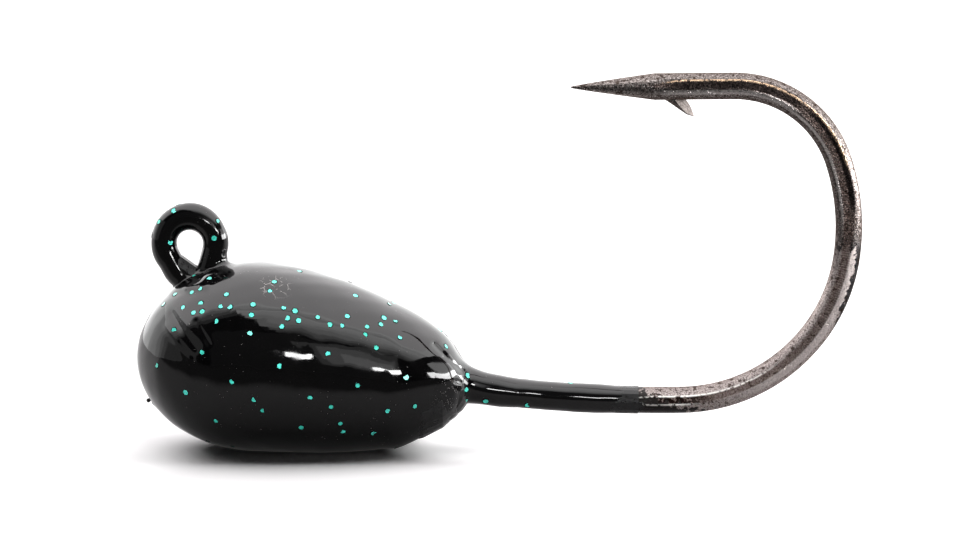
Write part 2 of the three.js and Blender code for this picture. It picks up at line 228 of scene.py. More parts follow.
def ring_on(parts, distance, turns, sizes):
    """A ring of points round a path: turn 0 is its inner side and a quarter turn its near side."""
    at, angle = place_on(parts, distance)
    inward, sideways = sizes * np.cos(turns), -sizes * np.sin(turns)
    return np.stack(
        [at[0] - inward * math.sin(angle), sideways, at[1] + inward * math.cos(angle)], axis=1
    )


def even_stops(start, end, step):
    return np.linspace(start, end, max(2, math.ceil((end - start) / step) + 1))


def joined(name, parts, materials):
    """One piece from several closed shells, joined with exact booleans."""
    pieces = [new_piece(f"{name}_{i}", *part, materials, None) for i, part in enumerate(parts)]
    base = pieces[0]
    for tool in pieces[1:]:
        union = base.modifiers.new("union", "BOOLEAN")
        union.operation, union.solver, union.object = "UNION", "EXACT", tool
    graph = bpy.context.evaluated_depsgraph_get()
    mesh = bpy.data.meshes.new_from_object(base.evaluated_get(graph))
    base.modifiers.clear()
    base.data = mesh
    base.name = mesh.name = name
    mesh.shade_smooth()
    for tool in pieces[1:]:
        bpy.data.objects.remove(tool)
    return base


# ---- surfaces from distance fields ----


def smooth_min(a, b, width):
    blend = np.maximum(width - np.abs(a - b), 0) / width
    return np.minimum(a, b) - blend * blend * width / 4


def smooth_max(a, b, width):
    return -smooth_min(-a, -b, width)


def smooth_step(value):
    t = np.clip(value, 0, 1)
    return t * t * (3 - 2 * t)


RIPPLE_WAVES = 9
RIPPLE_SPREAD = (0.6, 1.4)


def ripple(x, y, z, wavelength, seed):
    """Soft, even, random unevenness, mostly between -1 and 1."""
    rng = np.random.default_rng(seed)
    total = 0
    for _ in range(RIPPLE_WAVES):
        way = rng.normal(size=3)
        way *= 2 * math.pi / wavelength / np.linalg.norm(way) * rng.uniform(*RIPPLE_SPREAD)
        phase = rng.uniform(0, 2 * math.pi)
        spin = np.exp(1j * (way[0] * x + phase)) * np.exp(1j * way[1] * y)
        total = total + (spin * np.exp(1j * way[2] * z)).real
    return total / math.sqrt(RIPPLE_WAVES)


def surface_net(field, low, step):
    """Points and quads of the surface where a field on a grid crosses zero."""
    inside = field < 0
    shape = np.array(field.shape) - 1
    corners = [(i, j, k) for i in (0, 1) for j in (0, 1) for k in (0, 1)]

    def shifted(array, offset):
        return array[tuple(slice(o, o + n) for o, n in zip(offset, shape))]

    filled = sum(shifted(inside, c).astype(np.int8) for c in corners)
    cells = np.argwhere((filled > 0) & (filled < 8))
    total, hits = np.zeros((len(cells), 3)), np.zeros(len(cells))
    for a in corners:
        for axis in range(3):
            if a[axis]:
                continue
            b = tuple(v + (i == axis) for i, v in enumerate(a))
            fa = field[tuple((cells + a).T)].astype(float)
            fb = field[tuple((cells + b).T)].astype(float)
            crossed = (fa < 0) != (fb < 0)
            share = np.where(crossed, fa / np.where(crossed, fa - fb, 1), 0)
            point = np.array(a, float) + share[:, None] * (np.array(b) - np.array(a))
            total += point * crossed[:, None]
            hits += crossed
    points = cells + total / hits[:, None]
    number = np.full(shape, -1, np.int32)
    number[tuple(cells.T)] = np.arange(len(cells))
    quads = []
    for axis in range(3):
        u, v = (axis + 1) % 3, (axis + 2) % 3
        head = tuple(slice(1, None) if i == axis else slice(None) for i in range(3))
        tail = tuple(slice(None, -1) if i == axis else slice(None) for i in range(3))
        edges = np.argwhere(inside[head] != inside[tail])
        edges = edges[(edges[:, u] > 0) & (edges[:, v] > 0)]
        edges = edges[(edges[:, u] < shape[u]) & (edges[:, v] < shape[v])]
        around = []
        for du, dv in ((0, 0), (-1, 0), (-1, -1), (0, -1)):
            cell = edges.copy()
            cell[:, u] += du
            cell[:, v] += dv
            around.append(number[tuple(cell.T)])
        quad = np.stack(around, axis=1)
        flip = ~inside[tuple(edges.T)]
        quad[flip] = quad[flip][:, ::-1]
        quads.append(quad)
    return points * step + low, np.vstack(quads)


RELAX_ROUNDS = 3
LEAST_SLOPE = 0.05


def relaxed(points, quads, field, low, step):
    """Points evened out over the surface, then put back on it along the field's slope."""
    slopes = np.gradient(field, step)
    edges = np.vstack([quads[:, [i, (i + 1) % 4]] for i in range(4)])
    count = np.bincount(edges.ravel(), minlength=len(points))[:, None]
    for _ in range(RELAX_ROUNDS):
        total = np.zeros_like(points)
        for i in range(3):
            total[:, i] += np.bincount(edges[:, 0], points[edges[:, 1], i], len(points))
            total[:, i] += np.bincount(edges[:, 1], points[edges[:, 0], i], len(points))
        points = 0.5 * points + 0.5 * total / count
        value = sampled(field, points, low, step)
        slope = np.stack([sampled(s, points, low, step) for s in slopes], axis=1)
        points = points - slope * (value / (slope**2).sum(1).clip(LEAST_SLOPE))[:, None]
    return points


def sampled(field, points, low, step):
    """A field's values at points between its grid's nodes."""
    at = (points - low) / step
    cell = np.clip(np.floor(at).astype(int), 0, np.array(field.shape) - 2)
    share = at - cell
    value = 0
    for i in (0, 1):
        for j in (0, 1):
            for k in (0, 1):
                weight = np.prod(np.where((i, j, k), share, 1 - share), axis=1)
                value = value + weight * field[tuple((cell + (i, j, k)).T)]
    return value


# ---- the coat ----


def axis_height(x):
    past = np.maximum(x - AXIS_BEND_X, 0)
    return AXIS_HEIGHT - AXIS_SLOPE * (np.hypot(past, AXIS_BEND_SOFTNESS) - AXIS_BEND_SOFTNESS)


def egg(along_axis, across, length, radius):
    """Distance to an ellipsoid of revolution, from the position along its axis and off it."""
    near = np.hypot(along_axis / length, across / radius)
    slope = np.hypot(along_axis / length**2, across / radius**2)
    return near * (near - 1) / np.maximum(slope, TINY)


# The tail runs out into the wire: position along X, radius, and height of its middle.
TAIL_STOPS = [
    (2.3, 2.64, 2.45),
    (3.1, 2.35, 2.42),
    (3.77, 2.02, 2.40),
    (4.43, 1.58, 2.37),
    (4.72, 1.36, 2.32),
    (4.95, 1.13, 2.26),
    (5.12, 0.87, 2.22),
    (5.36, 0.66, 2.17),
    (5.77, 0.55, 2.07),
    (6.43, 0.50, 1.94),
    (7.2, 0.40, 1.83),
]
TAIL_BLEND = (2.5, 3.2)
TAIL_STEP = 0.01
TAIL_EVENED = 0.10
TAIL_CUT_SHORT = 0.3
FULLER_BACK = 1.042
BELLY_ROUNDING = 0.16


def through(stops, column, x):
    """A smooth curve through one column of the stops, straight beyond its ends."""
    table = np.array(stops)
    at, value = table[:, 0], table[:, column]
    slope = np.gradient(value, at)
    i = np.clip(np.searchsorted(at, x) - 1, 0, len(at) - 2)
    width = at[i + 1] - at[i]
    t = np.clip((x - at[i]) / width, 0, 1)
    rise = (1 - t) ** 2 * ((1 + 2 * t) * value[i] + t * width * slope[i])
    fall = t**2 * ((3 - 2 * t) * value[i + 1] - (1 - t) * width * slope[i + 1])
    return rise + fall


def over_middle(height):
    """Height off the weight's middle line, drawn in a little above it, where the back is fuller."""
    return np.where(height > 0, height / FULLER_BACK, height)


def tail_table():
    """The tail's radius and middle height along X, evened out so that it shines without bands."""
    x = np.arange(TAIL_STOPS[0][0] - 1, TAIL_STOPS[-1][0] + 1, TAIL_STEP)
    spread = np.arange(-4 * TAIL_EVENED, 4 * TAIL_EVENED, TAIL_STEP)
    weights = np.exp(-0.5 * (spread / TAIL_EVENED) ** 2)
    weights /= weights.sum()
    half = len(spread) // 2
    columns = []
    for column in (1, 2):
        values = np.pad(through(TAIL_STOPS, column, x), half, mode="edge")
        columns.append(np.convolve(values, weights, mode="same")[half : half + len(x)])
    return x, *columns


def weight_field(x, y, z):
    across = np.hypot(y, over_middle(z - axis_height(x)))
    past = x - PEAK_X
    nose = egg(past, across, NOSE_LENGTH, PEAK_RADIUS)
    ogive = np.hypot(past, across + OGIVE_RADIUS - PEAK_RADIUS) - OGIVE_RADIUS
    stops, radii, middles = tail_table()
    radius, middle = np.interp(x, stops, radii), np.interp(x, stops, middles)
    slope = np.interp(x, stops, np.gradient(radii, TAIL_STEP))
    tail = (np.hypot(y, over_middle(z - middle)) - radius) / np.hypot(1, slope)
    tail = np.maximum(tail, x - TAIL_STOPS[-1][0] + TAIL_CUT_SHORT)
    share = smooth_step((x - TAIL_BLEND[0]) / (TAIL_BLEND[1] - TAIL_BLEND[0]))
    body = np.where(past < 0, nose, ogive * (1 - share) + tail * share)
    return smooth_max(body, -z, BELLY_ROUNDING)


COLLAR_RADIUS = 1.22
COLLAR_TOP = 0.62
COLLAR_BLEND = 0.3
COLLAR_FLARE = 0.14
COLLAR_FLARES_OVER = 0.7
COLLAR_SQUEEZED = 1.1
COLLAR_TOP_ROUNDING = 0.5
COLLAR_FOOT = 0.65
COLLAR_FOOT_ROUNDING = 0.1
# The eye's opening in the plane of the hook: a large circle and a small one, drawn round by a line.
OPENING = [((0.017, 0.012), 0.435), ((0.085, -0.61), 0.205)]
OPENING_STEPS = 16
# The round of the opening's edge passes into the rest of the ring beyond this share of its radius.
OPENING_EDGE = 0.4
# The ring stands a little taller over its middle than it is wide, and its collar leans to the nose.
EYE_TALLER = 1.075
COLLAR_OFF_LEG = 0.13


def egg_outline(x, z):
    """Distance outside the outline of the eye's opening."""
    (top, wide), (foot, narrow) = ((eye_centre + np.array(at), size) for at, size in OPENING)
    best = np.inf
    for share in np.linspace(0, 1, OPENING_STEPS):
        at = top + (foot - top) * share
        radius = wide + (narrow - wide) * share
        best = np.minimum(best, np.hypot(x - at[0], z - at[1]) - radius)
    return best


def eye_field(x, y, z):
    ring = np.inf
    over = z - eye_centre[1]
    drawn_in = np.where(over > 0, over / EYE_TALLER, over) + eye_centre[1]
    for half in eye_paths():
        gap, _, _ = nearest_on(half, x, drawn_in)
        ring = np.minimum(ring, np.hypot(gap, y) - EYE_PAINTED_RADIUS)
    up = -leg_direction
    dx, dz = x - leg_start[0], z - leg_start[1]
    height = dx * up[0] + dz * up[1]
    side = dz * up[0] - dx * up[1]
    flare = COLLAR_FLARE * smooth_step((COLLAR_TOP - height) / COLLAR_FLARES_OVER)
    bead = np.hypot(side - COLLAR_OFF_LEG, y * COLLAR_SQUEEZED) - COLLAR_RADIUS - flare
    bead = smooth_max(bead, height - COLLAR_TOP, COLLAR_TOP_ROUNDING)
    bead = smooth_max(bead, -height - COLLAR_FOOT, COLLAR_FOOT_ROUNDING)
    limbs = smooth_min(ring, bead, COLLAR_BLEND)
    out = egg_outline(x, z)
    inner = np.hypot(out - EYE_PAINTED_RADIUS, y) - EYE_PAINTED_RADIUS
    near = smooth_step((out / EYE_PAINTED_RADIUS - OPENING_EDGE) / (1 - OPENING_EDGE))
    return inner * (1 - near) + np.minimum(inner, limbs) * near


# The coat's edge on the wire wanders round it: waves in a turn, size and phase of each part.
COAT_END_WAVES = [(3, 0.14, 1.0), (7, 0.09, 2.2), (15, 0.06, 0.0)]
COAT_END_STEP = 0.12
COAT_PAST_END = 0.4
COAT_THINS_OVER = 2.2
# Beyond its edge the coat's skin runs on inside the wire.
SKIN_SUNK = 0.06


def shank_field(x, y, z):
    gap, run, inward = nearest_on(hook_path, x, z)
    turn = np.arctan2(y, inward)
    ragged = sum(size * np.sin(waves * turn + phase) for waves, size, phase in COAT_END_WAVES)
    painted = smooth_step((COAT_END + ragged - run) / COAT_END_STEP)
    thinned = COAT_ON_WIRE * smooth_step((COAT_END + COAT_PAST_END - run) / COAT_THINS_OVER)
    radius = WIRE_RADIUS - SKIN_SUNK + (thinned + SKIN_SUNK) * painted
    sleeve = np.hypot(gap, y) - radius
    return np.maximum(np.maximum(sleeve, run - COAT_END - COAT_PAST_END), SHANK_FROM - run)


# Unevenness of the whole coat: wavelength, seed and depth.
RIPPLES = [(1.9, 3, 0.006), (0.8, 5, 0.0035)]
# Marks that the coat has on its near side where it sagged as it dried: each from one point to
# another in the plane of the hook, then width and depth, negative for a ridge.
SAG_MARKS = [
    ((-4.35, 4.85), (-3.5, 3.95), 0.13, 0.030),
    ((-4.55, 4.45), (-3.75, 3.6), 0.10, -0.020),
    ((-3.5, 4.75), (-3.05, 4.1), 0.08, 0.020),
    ((-3.9, 5.66), (-3.3, 5.78), 0.12, -0.05),
    ((4.7, 1.02), (5.0, 1.18), 0.14, -0.05),
    ((5.12, 1.35), (5.3, 1.5), 0.12, 0.03),
    ((4.25, 3.75), (5.25, 2.68), 0.06, 0.035),
]
SAG_FROM_Y = 0.4


def relief(x, y, z):
    """How far the coat's surface is lowered by its unevenness and its sag marks."""
    low = sum(depth * ripple(x, y, z, wavelength, seed) for wavelength, seed, depth in RIPPLES)
    near_side = y < SAG_FROM_Y
    for start, end, width, depth in SAG_MARKS:
        start, way = np.array(start), np.array(end) - np.array(start)
        share = ((x - start[0]) * way[0] + (z - start[1]) * way[1]) / (way @ way)
        held = np.clip(share, 0, 1)
        gap = np.hypot(x - start[0] - held * way[0], z - start[1] - held * way[1])
        low = low + depth * np.exp(-((gap / width) ** 2)) * near_side
    return low


# A nib of paint at the nose: X, height and radius.
NIB = (-5.36, 1.62, 0.075)
NIB_BLEND = 0.06
SHANK_BLEND = 0.12
EYE_BLEND = 0.14
BELLY_EDGE = 0.02
# The grid of the coat's field goes past the CAD nodes that it follows.
GRID_BELOW = 0.3
GRID_ABOVE = 0.6


def coat_field(x, y, z):
    body = smooth_min(weight_field(x, y, z), shank_field(x, y, z), SHANK_BLEND)
    nib = np.sqrt((x - NIB[0]) ** 2 + y**2 + (z - NIB[1]) ** 2) - NIB[2]
    body = smooth_min(body, nib, NIB_BLEND)
    coat = smooth_min(body, eye_field(x, y, z), EYE_BLEND)
    return smooth_max(coat + relief(x, y, z), -z, BELLY_EDGE)


def make_coat(material):
    low = corner("clear_coat", 0) - GRID_BELOW
    high = corner("base_coat", 1) + GRID_ABOVE
    axes = [np.arange(a, b, FIELD_STEP) for a, b in zip(low, high)]
    grid = np.meshgrid(*axes, indexing="ij", sparse=True)
    field = coat_field(*grid).astype(np.float32)
    points, quads = surface_net(field, low, FIELD_STEP)
    points = relaxed(points, quads, field, low, FIELD_STEP)
    piece = new_piece("coat_skin", points, quads, [material], "clear_coat")
    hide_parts("clear_coat")
    return piece


# ---- the hook ----

# Forged flats: distance along the wire, half width, and degrees that they face to the inner side.
FLAT_STOPS = [
    (15.0, 0.02, 6),
    (16.2, 0.14, 7),
    (18.0, 0.14, 9),
    (20.0, 0.13, 11),
    (22.0, 0.13, 13),
    (24.0, 0.14, 16),
    (25.5, 0.17, 12),
    (27.0, 0.22, 2),
    (29.0, 0.22, 0),
    (31.0, 0.18, -6),
    (33.0, 0.15, -13),
    (34.9, 0.145, -13),
    (35.9, 0.02, -10),
]
# Half the angle a flat spans is at least this many degrees, and its half width at most this share.
LEAST_FLAT = 2
WIDEST_FLAT = 0.9
FLAT_SIDES = 6
ARC_SIDES = 22
# The wire's skin starts inside the ring. Its rings are even up to the point, then crowd to the tip.
WIRE_STARTS = -0.2
WIRE_STEP = 0.11
POINT_LENGTH = 3.2
POINT_RINGS = 48
POINT_CROWDING = 1.25
EYE_SIDES = 24
EYE_STEP = 0.08
SHARP_ANGLE = 13


def wire_size(distance):
    taper = np.clip((hook_length - distance) / TAPER_LENGTH, 0, 1)
    return TIP_RADIUS + (WIRE_RADIUS - TIP_RADIUS) * taper**TAPER_CURVE


def flat_at(distance):
    """Half the angle a flat spans round the wire, and the angle its middle is at, in radians."""
    stops = np.array(FLAT_STOPS)
    width = np.interp(distance, stops[:, 0], stops[:, 1])
    width = np.where(distance > stops[-1, 0], 0, width)
    tilt = np.interp(distance, stops[:, 0], stops[:, 2])
    half = np.arcsin(np.clip(width / wire_size(distance), math.sin(math.radians(LEAST_FLAT)), WIDEST_FLAT))
    return half, np.radians(90 - tilt)


def wire_ring(distance):
    """A round section with a flat on either side, its corners on points of the ring."""
    size = wire_size(distance)
    half, middle = flat_at(distance)
    turns, sizes = [], []
    for centre in (middle, 2 * math.pi - middle):
        flat = np.linspace(-half, half, FLAT_SIDES + 1)
        turns.append(centre + flat)
        sizes.append(size * math.cos(half) / np.cos(flat))
        end = 2 * math.pi - middle - half if centre == middle else 2 * math.pi + middle - half
        arc = np.linspace(centre + half, end, ARC_SIDES + 1)[1:-1]
        turns.append(arc)
        sizes.append(np.full(len(arc), size))
    return ring_on(hook_path, distance, np.concatenate(turns), np.concatenate(sizes))


def hook_wire():
    body = even_stops(WIRE_STARTS, hook_length - POINT_LENGTH, WIRE_STEP)
    left = np.linspace(1, 0, POINT_RINGS)[1:] ** POINT_CROWDING
    point = hook_length - POINT_LENGTH * left
    return loft([wire_ring(s) for s in np.concatenate([body, point])])


def eye_half(parts):
    turns = np.arange(EYE_SIDES) * 2 * math.pi / EYE_SIDES
    sizes = np.full(EYE_SIDES, EYE_WIRE_RADIUS)
    stops = even_stops(0, path_length(parts), EYE_STEP)
    return loft([ring_on(parts, s, turns, sizes) for s in stops])


# Barb: its outer and inner edges as (back from the tip, drop from the wire's middle), root to tip.
BARB_OUTER = [(2.45, 0.26), (2.80, 0.41), (3.15, 0.56), (3.50, 0.74), (3.82, 0.91), (4.08, 1.01)]
BARB_INNER = [(3.25, 0.05), (3.42, 0.20), (3.56, 0.38), (3.72, 0.58), (3.90, 0.80), (4.07, 0.99)]
BARB_HALF_WIDTHS = [0.16, 0.20, 0.23, 0.23, 0.19, 0.03]
BARB_TILT = 38
BARB_RINGS = 26
BARB_FLAT_POINTS = 7
BARB_BACK_POINTS = 10
# The barb's cut face: a point on it, from the tip, the way it faces, and how far off either may be.
CUT_FACE = (3.8, 0.0, -0.6)
CUT_FACES = (0.70, -0.52, 0.48)
CUT_WITHIN = 0.5
CUT_ALIKE = 0.93


def barb():
    """A sliver lifted from the wire: a flat cut face on its inner side and a round back."""
    tip, angle = place_on(hook_path, hook_length)
    forward = np.array([math.cos(angle), 0, math.sin(angle)])
    inward = np.array([-math.sin(angle), 0, math.cos(angle)])
    sideways = np.array([0, -1.0, 0])
    start = np.array([tip[0], 0, tip[1]])
    share = np.linspace(0, 1, BARB_RINGS)
    known = np.linspace(0, 1, len(BARB_OUTER))

    def edge(points):
        points = np.array(points)
        back, drop = (np.interp(share, known, points[:, i]) for i in (0, 1))
        return start - forward * back[:, None] + inward * drop[:, None]

    outer, inner = edge(BARB_OUTER), edge(BARB_INNER)
    widths = np.interp(share, known, BARB_HALF_WIDTHS)
    rings = []
    for out, inn, width in zip(outer, inner, widths):
        depth = np.linalg.norm(out - inn)
        toward = (out - inn) / max(depth, TINY)
        tilt = math.radians(BARB_TILT)
        back = toward * math.cos(tilt) - sideways * math.sin(tilt)
        side = sideways * math.cos(tilt) + toward * math.sin(tilt)
        flat = [(w, 0.0) for w in np.linspace(-1, 1, BARB_FLAT_POINTS)]
        turns = np.linspace(0, math.pi, BARB_BACK_POINTS + 2)[1:-1]
        bow = [(math.cos(a), math.sin(a)) for a in turns]
        rings.append([inn + side * width * w + back * depth * d for w, d in flat + bow])
    return loft(rings)


def make_hook(steel, fresh_cut):
    parts = [hook_wire(), barb(), *[eye_half(half) for half in eye_paths()]]
    piece = joined("hook_wire", parts, [steel, fresh_cut])
    piece.data.set_sharp_from_angle(angle=math.radians(SHARP_ANGLE))
    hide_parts("hook")
    measure_wear_and_shade(piece)
    mark_cut_face(piece)
    return piece


def mesh_points(mesh):
    flat = np.zeros(len(mesh.vertices) * 3)
    mesh.vertices.foreach_get("co", flat)
    return flat.reshape(-1, 3)


# Degrees: over which a flat's look comes in, and within which a point is on a crease.
FLAT_EDGE = 3
CREASE_WITHIN = 1
# Flats that span this many degrees more than the least have their look, and then their creases.
FLAT_SHOWS = 1
CREASE_SHOWS = 6


def measure_wear_and_shade(piece):
    """Stores how far along the wire and round it each vertex lies, and if it is on a flat."""
    points = mesh_points(piece.data) / MM
    _, run, inward = nearest_on(hook_path, points[:, 0], points[:, 2])
    half, middle = flat_at(run)
    inside = half - np.abs(np.arctan2(np.abs(points[:, 1]), inward) - middle)
    flat = np.clip(inside / math.radians(FLAT_EDGE) + 0.5, 0, 1)
    flat = flat * (half > math.radians(LEAST_FLAT + FLAT_SHOWS))
    on_crease = np.abs(inside) < math.radians(CREASE_WITHIN)
    crease = on_crease * (half > math.radians(LEAST_FLAT + CREASE_SHOWS))
    # These places guide both the wear and the painted shade, highlights and glints.
    looks = {"run": run, "inward": inward, "flat": flat, "crease": crease}
    for name, values in looks.items():
        layer = piece.data.attributes.new(name, "FLOAT", "POINT")
        layer.data.foreach_set("value", values.astype(np.float32))


def mark_cut_face(piece):
    """Gives the barb's flat inner face its own material."""
    tip, _ = place_on(hook_path, hook_length)
    near = (Vector((tip[0], 0, tip[1])) + Vector(CUT_FACE)) * MM
    facing = Vector(CUT_FACES).normalized()
    for polygon in piece.data.polygons:
        close = (polygon.center - near).length < CUT_WITHIN * MM
        if close and polygon.normal.dot(facing) > CUT_ALIKE:
            polygon.material_index = 1


# ---- glitter ----

FLAKE_SIDES = 6
FLAKE_RADIUS = 0.116
FLAKE_SIZES = (0.86, 1.12)
FLAKE_TIPPED = 0.07
FLAKE_THICKNESS = 0.016
FLAKE_PROUD = 0.004
FLAKE_BRIGHT = 0.76
FLAKE_APART = 0.3
EXTRA_FLAKES = 122
FLAKE_SEED = 11


def flake_spots(coat):
    """Places and outward directions of the flakes on the coat: above each CAD flake, then at random."""
    mesh = coat.data
    tree = BVHTree.FromPolygons(
        [v.co for v in mesh.vertices], [p.vertices for p in mesh.polygons], epsilon=0.0
    )
    spots = []
    for name in flake_names:
        low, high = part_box(name)
        found = tree.find_nearest((low + high) / 2)
        spots.append((found[0], found[1]))
    rng = random.Random(FLAKE_SEED)
    faces = mesh.polygons
    while len(spots) < len(flake_names) + EXTRA_FLAKES:
        face = faces[rng.randrange(len(faces))]
        clear = all((face.center - at).length > FLAKE_APART * MM for at, _ in spots)
        if clear and rng.random() < flake_chance(face.center / MM, face.normal):
            spots.append((face.center.copy(), face.normal.copy()))
    return spots


# How likely flakes are on the wire's first part and beyond it, and on the eye.
TAIL_ENDS_X, FEW_FROM_X, EYE_FROM_Z = 5.2, 9, 6.3
WIRE_CHANCE, FAR_CHANCE, EYE_CHANCE = 0.16, 0.02, 0.35
# The head has most where it faces up by this much, in a band wider above than below.
SHOULDER, SHOULDER_ABOVE, SHOULDER_BELOW = 0.66, 0.20, 0.16
SHOULDER_CHANCE, UNDER_CHANCE, OVER_CHANCE = 0.9, 0.07, 0.03
# The band thins out towards the nose and behind the middle.
NOSE_X, NOSE_SPAN, NOSE_LEAST = -4.9, 1.4, 0.15
BACK_X, BACK_SHARE = 3.2, 0.35


def flake_chance(point, normal):
    """How likely a flake is at a place: most on the shoulders, few below and few on the wire."""
    if point.x > TAIL_ENDS_X:
        return WIRE_CHANCE if point.x < FEW_FROM_X else FAR_CHANCE
    if point.z > EYE_FROM_Z:
        return EYE_CHANCE
    width = SHOULDER_ABOVE if normal.z > SHOULDER else SHOULDER_BELOW
    shoulder = math.exp(-(((normal.z - SHOULDER) / width) ** 2))
    spread = min(1.0, max(NOSE_LEAST, (point.x - NOSE_X) / NOSE_SPAN))
    spread *= 1.0 if point.x < BACK_X else BACK_SHARE
    base = UNDER_CHANCE if normal.z < 0.0 else OVER_CHANCE
    return base + SHOULDER_CHANCE * shoulder * spread


def make_glitter(coat, foil, edge):
    mesh = bmesh.new()
    tone = mesh.verts.layers.float.new("tone")
    rng = random.Random(FLAKE_SEED + 1)
    for at, normal in flake_spots(coat):
        add_flake(mesh, at, normal, rng, tone)
    data = bpy.data.meshes.new("glitter")
    mesh.to_mesh(data)
    mesh.free()
    data.materials.append(foil)
    data.materials.append(edge)
    piece = bpy.data.objects.new("glitter", data)
    bpy.context.scene.collection.objects.link(piece)
    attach(piece, BODY)
    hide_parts(*flake_names)
    return piece


def add_flake(mesh, at, normal, rng, tone):
    """One six-sided plate, a little turned and tipped, with a painted dark edge, the shade where the coat
    dips, round its bright middle.
    """
    size = FLAKE_RADIUS * rng.uniform(*FLAKE_SIZES)
    tip = Matrix.Rotation(rng.gauss(0, FLAKE_TIPPED), 3, "X")
    tip = tip @ Matrix.Rotation(rng.gauss(0, FLAKE_TIPPED), 3, "Y")
    turn = normal.to_track_quat("Z", "Y").to_matrix() @ tip
    turn = turn @ Matrix.Rotation(rng.uniform(0, math.pi), 3, "Z")
    shade = rng.random()
    rings = [(1.0, FLAKE_PROUD - FLAKE_THICKNESS), (1.0, 0.0), (FLAKE_BRIGHT, FLAKE_PROUD)]
    layers = []
    for share, height in rings:
        layer = []
        for i in range(FLAKE_SIDES):
            a = i * 2 * math.pi / FLAKE_SIDES
            offset = Vector((math.cos(a) * size * share, math.sin(a) * size * share, height))
            vert = mesh.verts.new(at + turn @ offset * MM)
            vert[tone] = shade
            layer.append(vert)
        layers.append(layer)
    for lower, upper in zip(layers, layers[1:]):
        for i in range(FLAKE_SIDES):
            j = (i + 1) % FLAKE_SIDES
            # The sides take the painted shade of the flake's edge.
            mesh.faces.new((lower[i], lower[j], upper[j], upper[i])).material_index = 1
    mesh.faces.new(layers[0][::-1])
    mesh.faces.new(layers[-1])


# ---- materials ----


